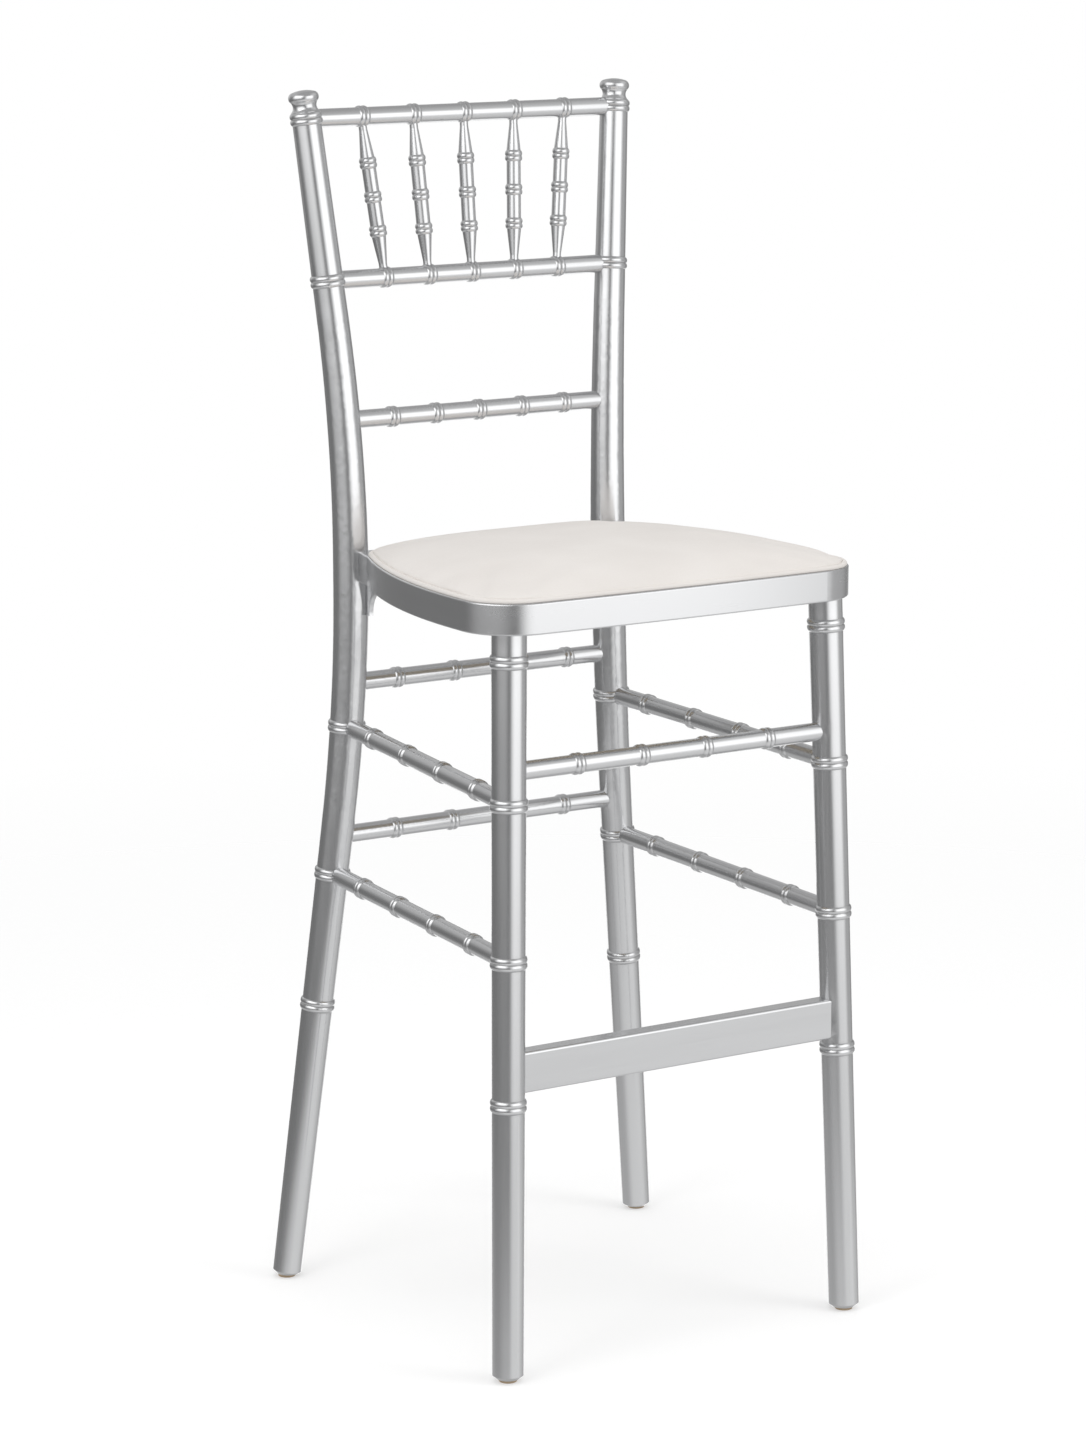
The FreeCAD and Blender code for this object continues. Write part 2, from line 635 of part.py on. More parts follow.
def seat_rails():
    """The four rails of the seat frame: the front board, two sides and the rear rail."""
    ring = seat_ring()
    tall = SEAT_BAND + 2 * WASTE
    base = SEAT_UNDERSIDE - WASTE
    front = Part.makeBox(2 * SEAT_WIDTH, CORNER_JOINT_Y - SEAT_FRONT_Y + WASTE, tall,
                         Vector(-SEAT_WIDTH, SEAT_FRONT_Y - WASTE, base))
    rear = Part.makeBox(2 * REAR_RAIL_HALF, SEAT_DEPTH, tall,
                        Vector(-REAR_RAIL_HALF, SEAT_SETBACK, base))
    hollow = seat_prism(RAIL_BREADTH, SEAT_BACK_Y - RAIL_BREADTH, POCKET_CORNER_RADIUS,
                        POCKET_CORNER_RADIUS, base, SEAT_TOP)
    hollowed = ring.cut([front, hollow])
    sides = sorted(hollowed.cut(rear).Solids, key=lambda solid: solid.CenterOfMass.x)
    return {
        "seat_front_rail": ring.common(front),
        "seat_rear_rail": hollowed.common(rear),
        "seat_side_rail_left": sides[0],
        "seat_side_rail_right": sides[-1],
    }


def corbel():
    """Right corbel: a thin bracket with a hollow front edge, coped to the post."""
    top = SEAT_UNDERSIDE
    post = post_point(top - CORBEL_HEIGHT / 2)
    x = post.x - CORBEL_INSIDE_POST - CORBEL_THICKNESS / 2
    face_y = post.y - post_radius(post.z)
    heel = Vector(x, post.y, top)
    nose = Vector(x, face_y - CORBEL_REACH, top)
    toe = Vector(x, face_y - CORBEL_TOE, top - CORBEL_HEIGHT)
    base = Vector(x, post.y, top - CORBEL_HEIGHT)
    chin = nose - UP * CORBEL_TOE
    hollow_y = face_y - CORBEL_HOLLOW_REACH * CORBEL_REACH
    hollow = Vector(x, hollow_y, top - CORBEL_HOLLOW_DROP * CORBEL_HEIGHT)
    edges = [Part.makeLine(base, heel), Part.makeLine(heel, nose), Part.makeLine(nose, chin)]
    edges.append(Part.Arc(chin, hollow, toe).toShape())
    edges.append(Part.makeLine(toe, base))
    bracket = Part.Face(Part.Wire(edges)).extrude(Vector(CORBEL_THICKNESS, 0, 0))
    return bracket.cut(post_bend(0))


# Drop-in seat
def pillow(block, rise):
    """Soft crown on a block: copies of its top outline that shrink as they rise."""
    top = max(block.Faces, key=lambda face: face.CenterOfMass.z)
    middle = Vector(0, SEAT_SETBACK, 0)
    outlines = []
    for angle in CROWN_ANGLES:
        share = math.cos(math.radians(angle)) ** CROWN_POWER
        lift = rise * math.sin(math.radians(angle))
        move = FreeCAD.Matrix()
        move.move(middle * -1)
        move.scale(share, share, 1)
        move.move(middle + UP * lift)
        outlines.append(top.OuterWire.transformGeometry(move))
    return Part.makeLoft(outlines, True, False)


def padding(depth):
    """Padding `depth` under the cover's skin: sides drawn in below and a soft crown above."""
    bottom = SEAT_TOP + SEAT_GAP + depth
    block = drop_in(PAD_INSET + depth, bottom, PAD_WALL_TOP)
    low = [edge for edge in block.Edges if edge.BoundBox.ZMax < bottom + JOINT_GAP]
    block = block.makeFillet(PAD_UNDER_ROUND - depth, low)
    return block.fuse(pillow(block, PAD_CROWN - PAD_WALL - depth))


def seat_foam():
    pad = padding(COVER_THICKNESS)
    plug = drop_in(BOARD_INSET, BOARD_TOP, PAD_WALL_TOP - JOINT_GAP)
    return pad.fuse(plug)


def seat_board():
    board = drop_in(BOARD_INSET, BOARD_BOTTOM, BOARD_TOP)
    return board.cut([screw(spot, JOINT_GAP) for spot in screw_spots()])


def seat_cover():
    """Upholstery cover: over the foam, down the board's edge and turned under the board."""
    skirt = LIP_BREADTH + SEAT_GAP
    skin = padding(0).fuse(drop_in(skirt, LEDGE, PAD_WALL_TOP - JOINT_GAP))
    under = seat_prism(BOARD_INSET + COVER_TURN_UNDER, SEAT_BACK_Y - BACK_LIP_BREADTH - COVER_TURN_UNDER,
                       POCKET_CORNER_RADIUS, POCKET_CORNER_RADIUS, LEDGE - WASTE, BOARD_TOP)
    waste = [seat_foam(), drop_in(BOARD_INSET, BOARD_BOTTOM, BOARD_TOP), under]
    waste += [screw(spot, JOINT_GAP) for spot in screw_spots()]
    return skin.cut(waste)


# Fasteners and glides
def dowel_peg(middle, direction, extra):
    half = direction * (DOWEL_LENGTH / 2)
    if extra:
        half = direction * (DOWEL_LENGTH / 2 + GLUE_WELL / 2)
    return peg(DOWEL_DIAMETER + 2 * extra, middle - half, middle + half)


def post_dowels(extra):
    """Two dowels, one above the other, that hold the right ear to its post."""
    middle = post_point(SEAT_UNDERSIDE + SEAT_BAND / 2)
    x = middle.x - POST_DOWEL_INSIDE
    face = middle.y - math.sqrt(post_radius(middle.z) ** 2 - POST_DOWEL_INSIDE ** 2)
    pegs = []
    for height in spread(2, POST_DOWEL_SPREAD):
        pegs.append(dowel_peg(Vector(x, face, middle.z + height), Vector(0, 1, 0), extra))
    return pegs


def rail_dowels(extra):
    """Dowels of the right front corner joint and the right rear corner joint."""
    height = (SEAT_UNDERSIDE + LEDGE) / 2
    ledge_middle = (LIP_BREADTH + RAIL_BREADTH) / 2
    corner_x = side_x(CORNER_JOINT_Y, ledge_middle)
    rear_y = SEAT_BACK_Y - RAIL_BREADTH / 2
    pegs = []
    for place in spread(2, RAIL_DOWEL_SPREAD):
        corner = Vector(corner_x + place, CORNER_JOINT_Y, height)
        rear = Vector(REAR_RAIL_HALF, rear_y + place, height)
        pegs.append(dowel_peg(corner, Vector(0, 1, 0), extra))
        pegs.append(dowel_peg(rear, Vector(1, 0, 0), extra))
    return pegs


def screw_spots():
    """Where the seat's screws enter the underside of the side rails."""
    spots = []
    for place in spread(2, SCREW_SPREAD):
        y = SEAT_SETBACK + place
        right = Vector(side_x(y, (BOARD_INSET + RAIL_BREADTH) / 2), y, SEAT_UNDERSIDE)
        spots += [right, flip(right)]
    return spots


def screw(spot, extra):
    """Countersunk wood screw, driven up through a rail into the seat board."""
    length = BOARD_BOTTOM - SEAT_UNDERSIDE + SCREW_IN_BOARD
    if extra:
        length += GLUE_WELL
    shank = SCREW_DIAMETER / 2 + extra
    outline = Outline(0)
    outline.line(SCREW_HEAD_DIAMETER / 2 + extra, 0)
    outline.line(shank, SCREW_HEAD_HEIGHT)
    outline.line(shank, length - SCREW_DIAMETER)
    outline.line(0, length)
    return laid(outline.turn(), spot, spot + UP)


def seat_screws():
    slot = SCREW_HEAD_DIAMETER / 2
    pieces = []
    for spot in screw_spots():
        bar = Part.makeBox(slot, SCREW_SLOT, SCREW_HEAD_HEIGHT, Vector(-slot / 2, -SCREW_SLOT / 2, 0))
        cross = bar.fuse(bar.rotated(Vector(0, 0, 0), UP, 90))
        cross.translate(spot - UP * (SCREW_HEAD_HEIGHT / 2))
        pieces.append(screw(spot, 0).cut(cross))
    return Part.makeCompound(pieces)


def glide(foot):
    """Nail-on glide under a leg, with a recess for the nail's head."""
    disc = Part.makeCylinder(GLIDE_DIAMETER / 2, GLIDE_HEIGHT, Vector(foot.x, foot.y, 0))
    rim = [edge for edge in disc.Edges if edge.BoundBox.ZMax < JOINT_GAP]
    disc = disc.makeFillet(GLIDE_ROUND, rim)
    return disc.cut(peg(NAIL_HEAD_DIAMETER, nail_base(foot), nail_base(foot) + UP * GLIDE_HEIGHT))


def nail_base(foot):
    return Vector(foot.x, foot.y, GLIDE_HEIGHT - NAIL_HEAD_HEIGHT)


def nail(foot):
    base = nail_base(foot)
    head = peg(NAIL_HEAD_DIAMETER, base, base + UP * NAIL_HEAD_HEIGHT)
    return head.fuse(peg(NAIL_DIAMETER, base, base + UP * NAIL_LENGTH))


def nodes():
    """Every piece of the stool by name."""
    made = {}
    legs = {"rear_post": rear_post(), "front_leg": front_leg(), "seat_corbel": corbel()}
    for level, heights in SIDE_LEVELS.items():
        legs["side_stretcher_" + level] = side_stretcher(*heights)
    feet = {"rear": post_point(GLIDE_HEIGHT), "front": leg_point(GLIDE_HEIGHT)}
    for end, foot in feet.items():
        legs["foot_glide_" + end] = glide(foot)
    for name, piece in legs.items():
        made[name + "_right"] = piece
        made[name + "_left"] = mirrored(piece)
    across = spread(SPINDLE_COUNT, CREST_RING_PITCH)
    crest = cross_rail(post_point, post_radius, CREST, across)
    made["crest_rail"] = spindle_holes(crest)
    across = spread(SPINDLE_COUNT, SPINDLE_FOOT_PITCH)
    low = cross_rail(post_point, post_radius, SPINDLE_RAIL, across)
    made["spindle_rail"] = spindle_holes(low)
    made["lumbar_rail"] = cross_rail(post_point, post_radius, LUMBAR_RAIL, across)
    for number, place in enumerate(spread(SPINDLE_COUNT, 1), 1):
        made["back_spindle_%d" % number] = spindle(place)
    across = spread(STRETCHER_RINGS, REAR_RING_PITCH)
    made["rear_stretcher_upper"] = cross_rail(post_point, post_radius, REAR_UPPER, across)
    made["rear_stretcher_lower"] = cross_rail(post_point, post_radius, REAR_LOWER_HEIGHT, across)
    across = spread(STRETCHER_RINGS, FRONT_RING_PITCH)
    made["front_stretcher"] = cross_rail(leg_point, leg_radius, FRONT_STRETCHER, across)
    made["footrest_board"] = footrest(0)
    made.update(seat_rails())
    made["seat_board"] = seat_board()
    made["seat_foam"] = seat_foam()
    made["seat_cover"] = seat_cover()
    made["seat_screws"] = seat_screws()
    pegs = post_dowels(0)
    made["post_dowels"] = Part.makeCompound(pegs + [mirrored(dowel) for dowel in pegs])
    pegs = rail_dowels(0)
    made["seat_rail_dowels"] = Part.makeCompound(pegs + [mirrored(dowel) for dowel in pegs])
    nails = [nail(foot) for foot in feet.values()]
    made["glide_nails"] = Part.makeCompound(nails + [mirrored(piece) for piece in nails])
    return made


os.makedirs("parts", exist_ok=True)
for node, piece in nodes().items():
    piece.exportStep("parts/" + node + ".step")
    print(node, len(piece.Solids), "solids", round(piece.Volume / 1000, 1), "cm3", piece.isValid())
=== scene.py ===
# %% [markdown]
# # A ballroom bar stool in silver lacquer
# The frame of this stool is modelled in CAD: two bent rear posts, two front legs, round rails with
# bamboo rings, a fan of five spindles and a bowed seat frame. Blender gives it what CAD doesn't:
# the silver lacquer, the soft vinyl seat pad, and the studio it stands in. The CAD pieces stay
# exactly where they are, so every new piece takes its size and place from them.

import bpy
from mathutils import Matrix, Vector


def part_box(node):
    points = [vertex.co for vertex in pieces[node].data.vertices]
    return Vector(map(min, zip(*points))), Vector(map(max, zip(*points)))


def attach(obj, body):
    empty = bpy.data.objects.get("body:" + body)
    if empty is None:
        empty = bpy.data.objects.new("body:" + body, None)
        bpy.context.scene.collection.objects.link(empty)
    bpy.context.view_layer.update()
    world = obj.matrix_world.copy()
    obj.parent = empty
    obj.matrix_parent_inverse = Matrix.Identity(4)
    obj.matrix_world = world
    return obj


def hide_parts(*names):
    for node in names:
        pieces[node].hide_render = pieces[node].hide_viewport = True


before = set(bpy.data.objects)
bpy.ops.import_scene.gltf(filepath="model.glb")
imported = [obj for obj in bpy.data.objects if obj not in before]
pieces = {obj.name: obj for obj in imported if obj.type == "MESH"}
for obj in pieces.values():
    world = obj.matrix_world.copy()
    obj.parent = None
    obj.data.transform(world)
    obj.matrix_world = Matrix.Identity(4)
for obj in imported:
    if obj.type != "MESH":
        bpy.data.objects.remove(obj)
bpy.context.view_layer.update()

import math

import bpy
from mathutils import Vector

# %% [markdown]
# ## Looking at it
# The stool is seen from the front left, a little above the seat, through a long lens. A long lens
# keeps the legs nearly parallel, as in a catalogue picture. The lens follows from the picture's
# height and from how quickly the legs draw together towards the floor.

# %% Camera
PICTURE_HEIGHT = 1448
FOCAL_PIXELS = 4596.9
SENSOR = 36.0
CAMERA_PLACE = (-2.3556, -3.5784, 1.4193)
CAMERA_DIP = 11.3104
CAMERA_TURN = -33.0146

bpy.ops.object.select_all(action="DESELECT")
bpy.ops.object.camera_add(
    location=CAMERA_PLACE,
    rotation=(math.radians(90 - CAMERA_DIP), 0, math.radians(CAMERA_TURN)),
)
camera = bpy.context.object
camera.name = "picture_camera"
camera.data.sensor_fit = "VERTICAL"
camera.data.sensor_height = SENSOR
camera.data.lens = FOCAL_PIXELS / PICTURE_HEIGHT * SENSOR
bpy.context.scene.camera = camera
bpy.context.scene.view_settings.view_transform = "Standard"
print("Lens:", round(camera.data.lens, 1), "mm")

# %% [markdown]
# ## Building a finish from nodes
# Every finish here is a small tree of nodes round one surface shader. A few helpers keep the trees
# short: they start a finish, lay a cloudy or pebbled pattern over the piece, turn a pattern into a
# range of values or colours, and raise it as a fine relief. Patterns are measured in metres on the
# piece itself, so the grain keeps its real size on a thin spindle and on a thick post alike.


# %% Finish helpers: patterns
def start_finish(name):
    """A new node material and its surface shader."""
    finish = bpy.data.materials.new(name)
    finish.use_nodes = True
    return finish, finish.node_tree, finish.node_tree.nodes["Principled BSDF"]


def laid_on(tree, stretch=(1, 1, 1), turn=(0, 0, 0)):
    """Coordinates on the piece, in metres, stretched along its length."""
    where = tree.nodes.new("ShaderNodeTexCoord")
    mapping = tree.nodes.new("ShaderNodeMapping")
    mapping.inputs["Scale"].default_value = stretch
    mapping.inputs["Rotation"].default_value = turn
    tree.links.new(where.outputs["Object"], mapping.inputs["Vector"])
    return mapping.outputs["Vector"]


def noise(tree, place, per_metre, detail=3.0, roughness=0.5):
    """Cloudy pattern with about this many lumps in a metre."""
    node = tree.nodes.new("ShaderNodeTexNoise")
    node.inputs["Scale"].default_value = per_metre
    node.inputs["Detail"].default_value = detail
    node.inputs["Roughness"].default_value = roughness
    tree.links.new(place, node.inputs["Vector"])
    return node.outputs["Fac"]


def cells(tree, place, per_metre, feature="F1", output="Distance"):
    """Pebbled pattern with about this many cells in a metre."""
    node = tree.nodes.new("ShaderNodeTexVoronoi")
    node.feature = feature
    node.inputs["Scale"].default_value = per_metre
    tree.links.new(place, node.inputs["Vector"])
    return node.outputs[output]


# %% Finish helpers: values, colours and relief
def ranged(tree, value, low, high, out_low, out_high):
    """Maps a pattern from one range onto another, without going past its ends."""
    node = tree.nodes.new("ShaderNodeMapRange")
    node.inputs["From Min"].default_value = low
    node.inputs["From Max"].default_value = high
    node.inputs["To Min"].default_value = out_low
    node.inputs["To Max"].default_value = out_high
    tree.links.new(value, node.inputs["Value"])
    return node.outputs["Result"]


def eased(tree, value, low, high):
    """Rises softly from 0 to 1 as a value goes from low to high."""
    node = tree.nodes.new("ShaderNodeMapRange")
    node.interpolation_type = "SMOOTHSTEP"
    node.inputs["From Min"].default_value = low
    node.inputs["From Max"].default_value = high
    tree.links.new(value, node.inputs["Value"])
    return node.outputs["Result"]


def tinted(tree, share, dark, light):
    """Colour that goes from dark to light as share goes from 0 to 1."""
    node = tree.nodes.new("ShaderNodeMix")
    node.data_type = "RGBA"
    node.inputs["A"].default_value = (*dark, 1)
    node.inputs["B"].default_value = (*light, 1)
    tree.links.new(share, node.inputs["Factor"])
    return node.outputs["Result"]


def combined(tree, first, second, operation="ADD"):
    """Joins two values by a sum or another operation; either may be a plain number."""
    node = tree.nodes.new("ShaderNodeMath")
    node.operation = operation
    for socket, value in zip(node.inputs, (first, second)):
        if isinstance(value, (int, float)):
            socket.default_value = value
        else:
            tree.links.new(value, socket)
    return node.outputs["Value"]


def raised(tree, pattern, depth, under=None):
    """Relief of this depth in metres, laid over any relief under it."""
    node = tree.nodes.new("ShaderNodeBump")
    node.inputs["Strength"].default_value = 1.0
    node.inputs["Distance"].default_value = depth
    tree.links.new(pattern, node.inputs["Height"])
    if under is not None:
        tree.links.new(under, node.inputs["Normal"])
    return node.outputs["Normal"]


def bowed(tree, place, bow):
    """Skin of a board that bulges a little, so that it faces outwards more towards its ends."""
    skin = tree.nodes.new("ShaderNodeNewGeometry")
    spot = tree.nodes.new("ShaderNodeSeparateXYZ")
    tree.links.new(place, spot.inputs["Vector"])
    lean = tree.nodes.new("ShaderNodeCombineXYZ")
    tree.links.new(combined(tree, spot.outputs["X"], bow, "MULTIPLY"), lean.inputs["X"])
    turned = tree.nodes.new("ShaderNodeVectorMath")
    tree.links.new(skin.outputs["Normal"], turned.inputs[0])
    tree.links.new(lean.outputs["Vector"], turned.inputs[1])
    return turned.outputs["Vector"]


def dress(names, finish):
    """Puts a finish on CAD pieces."""
    for name in names:
        pieces[name].data.materials.clear()
        pieces[name].data.materials.append(finish)
    print(finish.name, "on", len(names), "pieces")


# %% [markdown]
# ## Silver lacquer
# The frame is beech, sprayed with aluminium lacquer and sealed with a satin clear coat. Close up,
# the metal flakes sparkle a little, the wood grain shows through as very fine lines along each
# piece, and the clear coat has a faint ripple. The hollows between the beads and the joints get a
# painted shade: a darker silver is mixed in wherever ambient occlusion finds parts close by. Each
# direction of wood gets its own copy of the finish, so that the grain runs along the posts, rails
# and stretchers, as a turner would lay it. The front board of the seat bulges a hair's breadth,
# which the light shows and the eye can't measure, so its copy leans outwards towards the board's
# ends.

# %% Silver lacquer
FLAKES_PER_METRE = 2600
GRAIN_PER_METRE = 620
GRAIN_STRETCH = 0.02
RIPPLES_PER_METRE = 190
CLOUDS_PER_METRE = 54
GRAIN_DEPTH = 0.0000008
RIPPLE_DEPTH = 0.000004
# Painted shade: how far ambient occlusion looks for nearby parts, and the darker silver it paints
# into hollows and joints.
PAINTED_SHADE_REACH = 0.004
PAINTED_SHADE_SILVER = (0.40, 0.40, 0.395)
DARK_SILVER = (0.620, 0.623, 0.630)
LIGHT_SILVER = (0.740, 0.744, 0.754)
FRONT_BOW = 0.38
FRONT_DULLER = 0.03


def silver_lacquer(name, stretch, bow=0.0, duller=0.0):
    """Aluminium lacquer, with the grain of the wood along the short side of `stretch`.

    A bow leans the skin outwards towards the ends, and duller takes some gloss away.
    """
    finish, tree, shader = start_finish(name)
    plain = laid_on(tree)
    along = laid_on(tree, stretch)
    grain = noise(tree, along, GRAIN_PER_METRE, 4.0, 0.6)
    cloud = noise(tree, along, CLOUDS_PER_METRE, 2.0)
    ripple = noise(tree, plain, RIPPLES_PER_METRE, 1.0)
    flake = cells(tree, plain, FLAKES_PER_METRE, output="Color")
    sparkle = tree.nodes.new("ShaderNodeSeparateColor")
    tree.links.new(flake, sparkle.inputs["Color"])
    # Painted shade: ambient occlusion mixes the darker silver into bead hollows and where parts
    # meet, where shade falls.
    shade_occlusion = tree.nodes.new("ShaderNodeAmbientOcclusion")
    shade_occlusion.samples = 6
    shade_occlusion.only_local = True
    shade_occlusion.inputs["Distance"].default_value = PAINTED_SHADE_REACH
    painted_shade_share = ranged(tree, shade_occlusion.outputs["AO"], 0.35, 0.95, 0.0, 1.0)
    tone = ranged(tree, cloud, 0.3, 0.7, 0.46, 0.60)
    tone = combined(tree, tone, ranged(tree, sparkle.outputs["Red"], 0, 1, -0.05, 0.05))
    tone = combined(tree, tone, ranged(tree, grain, 0.3, 0.7, -0.05, 0.05))
    unshaded_silver = tinted(tree, tone, DARK_SILVER, LIGHT_SILVER)
    node = tree.nodes.new("ShaderNodeMix")
    node.data_type = "RGBA"
    node.inputs["A"].default_value = (*PAINTED_SHADE_SILVER, 1)
    tree.links.new(painted_shade_share, node.inputs["Factor"])
    tree.links.new(unshaded_silver, node.inputs["B"])
    tree.links.new(node.outputs["Result"], shader.inputs["Base Color"])
    shader.inputs["Metallic"].default_value = 0.97
    shader.inputs["Coat Weight"].default_value = 0.25
    shader.inputs["Coat Roughness"].default_value = 0.18
    gloss = combined(tree, ranged(tree, cloud, 0.3, 0.7, 0.20 + duller, 0.24 + duller),
                     ranged(tree, grain, 0.3, 0.7, -0.01, 0.02))
    tree.links.new(gloss, shader.inputs["Roughness"])
    relief = raised(tree, grain, GRAIN_DEPTH, bowed(tree, plain, bow) if bow else None)
    relief = raised(tree, ripple, RIPPLE_DEPTH, relief)
    tree.links.new(relief, shader.inputs["Normal"])
    return finish


# %% Which way the grain runs
upright = ["rear_post_left", "rear_post_right", "front_leg_left", "front_leg_right",
           "seat_corbel_left", "seat_corbel_right"]
upright += [name for name in pieces if name.startswith("back_spindle")]
sideways = ["crest_rail", "spindle_rail", "lumbar_rail", "rear_stretcher_upper",
            "rear_stretcher_lower", "front_stretcher", "footrest_board", "seat_rear_rail"]
lengthways = [name for name in pieces if name.startswith(("side_stretcher", "seat_side_rail"))]
print("Upright:", len(upright), "sideways:", len(sideways), "lengthways:", len(lengthways))

# %% Silver lacquer on the frame
dress(upright, silver_lacquer("silver_lacquer_upright", (1, 1, GRAIN_STRETCH)))
dress(sideways, silver_lacquer("silver_lacquer_sideways", (GRAIN_STRETCH, 1, 1)))
dress(lengthways, silver_lacquer("silver_lacquer_lengthways", (1, GRAIN_STRETCH, 1)))
dress(["seat_front_rail"], silver_lacquer("silver_lacquer_front_board", (GRAIN_STRETCH, 1, 1),
                                          bow=FRONT_BOW, duller=FRONT_DULLER))

# %% [markdown]
# ## Finishes under the seat and under the feet
# Turn the stool over, and there is bare birch plywood in the seat frame, four zinc-plated screws,
# and a tan nylon glide under each foot. They are small, but a part is looked at from below too.


# %% Plywood, beech, steel and nylon
def bare_wood(name, stretch, dark, light, per_metre):
    """Sanded, unfinished wood with its grain along the short side of `stretch`."""
    finish, tree, shader = start_finish(name)
    along = laid_on(tree, stretch)
    figure = noise(tree, along, per_metre / 6, 3.0, 0.6)
    pores = noise(tree, along, per_metre * 2, 4.0, 0.7)
    share = combined(tree, ranged(tree, figure, 0.35, 0.65, 0.0, 0.75),
                     ranged(tree, pores, 0.35, 0.65, 0.0, 0.25))
    tree.links.new(tinted(tree, share, dark, light), shader.inputs["Base Color"])
    tree.links.new(ranged(tree, pores, 0.3, 0.7, 0.62, 0.74), shader.inputs["Roughness"])
    tree.links.new(raised(tree, pores, 0.00006), shader.inputs["Normal"])
    return finish


def zinc_steel():
    finish, tree, shader = start_finish("zinc_steel")
    plain = laid_on(tree)
    spangle = cells(tree, plain, 900)
    smear = noise(tree, plain, 240, 3.0)
    share = ranged(tree, spangle, 0.0, 0.8, 0.0, 1.0)
    tree.links.new(tinted(tree, share, (0.50, 0.50, 0.49), (0.64, 0.63, 0.61)),
                   shader.inputs["Base Color"])
    shader.inputs["Metallic"].default_value = 1.0
    tree.links.new(ranged(tree, smear, 0.3, 0.7, 0.28, 0.42), shader.inputs["Roughness"])
    tree.links.new(raised(tree, smear, 0.00003), shader.inputs["Normal"])
    return finish


def tan_nylon():
    finish, tree, shader = start_finish("tan_nylon")
    plain = laid_on(tree)
    cloud = noise(tree, plain, 120, 3.0)
    scuff = noise(tree, laid_on(tree, (1, 0.2, 1), (0, 0, 0.6)), 700, 4.0, 0.7)
    share = combined(tree, ranged(tree, cloud, 0.3, 0.7, 0.1, 0.7),
                     ranged(tree, scuff, 0.4, 0.7, 0.0, 0.3))
    tree.links.new(tinted(tree, share, (0.42, 0.30, 0.19), (0.60, 0.46, 0.31)),
                   shader.inputs["Base Color"])
    tree.links.new(ranged(tree, scuff, 0.3, 0.7, 0.42, 0.6), shader.inputs["Roughness"])
    tree.links.new(raised(tree, scuff, 0.00004), shader.inputs["Normal"])
    return finish


dress(["seat_board"], bare_wood("birch_plywood", (0.03, 1, 1),
                                (0.47, 0.40, 0.31), (0.62, 0.55, 0.45), 420))
dress(["post_dowels", "seat_rail_dowels"], bare_wood("beech", (1, 0.05, 1),
                                                     (0.47, 0.30, 0.17), (0.62, 0.43, 0.27), 700))
dress(["seat_screws", "glide_nails"], zinc_steel())
dress([name for name in pieces if name.startswith("foot_glide")], tan_nylon())

# %% [markdown]
# ## The seat pad
# The pad is foam on a plywood board, with an off-white vinyl cover pulled down over it. It could
# be drawn as a smooth solid, but a real pad is a balance between foam that pushes out and vinyl
# that holds it in. So the start is a thin slab with the outline of the CAD foam, grown by the
# cover's thickness, and rebuilt as an even mesh that cloth simulation can swell.

# %% Pad: the foam's outline
SAME_POINT = 0.00001
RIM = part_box("seat_front_rail")[1].z
WIDEST = RIM + 0.003


def only(piece):
    """Selects one piece and nothing else."""
    bpy.ops.object.select_all(action="DESELECT")
    piece.select_set(True)
    bpy.context.view_layer.objects.active = piece


def foam_outline(name, height, offset):
    """A new piece that is the foam's level outline at a height, moved out by an offset."""
    piece = bpy.data.objects.new(name, pieces["seat_foam"].data.copy())
    bpy.context.collection.objects.link(piece)
    only(piece)
    bpy.ops.mesh.customdata_custom_splitnormals_clear()
    bpy.ops.object.mode_set(mode="EDIT")
    bpy.ops.mesh.select_all(action="SELECT")
    bpy.ops.mesh.remove_doubles(threshold=SAME_POINT)
    bpy.ops.mesh.bisect(plane_co=(0, 0, WIDEST), plane_no=(0, 0, 1),
                        clear_inner=True, clear_outer=True)
    bpy.ops.mesh.select_all(action="SELECT")
    low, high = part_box("seat_foam")
    middle = (low + high) / 2
    grow = [1 + 2 * offset / (high[axis] - low[axis]) for axis in (0, 1)]
    bpy.ops.transform.resize(value=(grow[0], grow[1], 1), center_override=middle)
    bpy.ops.transform.translate(value=(0, 0, height - WIDEST))
    bpy.ops.object.mode_set(mode="OBJECT")
    return piece


# %% Pad: a thin slab with that outline
PAD_THICKNESS = 0.007
PAD_GROWTH = 0.0020
PAD_VOXEL = 0.005
pad = foam_outline("seat_pad", RIM, PAD_GROWTH)
bpy.ops.object.mode_set(mode="EDIT")
bpy.ops.mesh.select_all(action="SELECT")
bpy.ops.mesh.edge_face_add()
bpy.ops.mesh.extrude_region_move(TRANSFORM_OT_translate={"value": (0, 0, PAD_THICKNESS)})
bpy.ops.mesh.select_all(action="SELECT")
bpy.ops.mesh.normals_make_consistent(inside=False)
bpy.ops.object.mode_set(mode="OBJECT")
pad.data.remesh_voxel_size = PAD_VOXEL
bpy.ops.object.voxel_remesh()
print("Pad points:", len(pad.data.vertices), "rim at", round(RIM, 4))

# %% [markdown]
# ### Swelling the pad
# The slab's underside is held on the board and on the lip of the seat frame, and the cloth
# simulation blows the rest up until the skin is tight. Pressure does the foam's work, and a cap
# keeps any point from moving further than the vinyl allows. Smoothing and one subdivision then
# take away the last small steps of the rebuilt mesh.

# %% Pad: swell it
SWELL_FRAMES = 25
SWELL_CAP = 0.022
PRESSURE = 5.6
STIFFNESS = 40
BENDING = 0.5
AIR_DAMPING = 4


def smooth(piece, times):
    """Evens out the small steps that the rebuilt mesh leaves."""
    settle = piece.modifiers.new("settle", "SMOOTH")
    settle.factor = 0.5
    settle.iterations = times
    only(piece)
    bpy.ops.object.modifier_apply(modifier=settle.name)


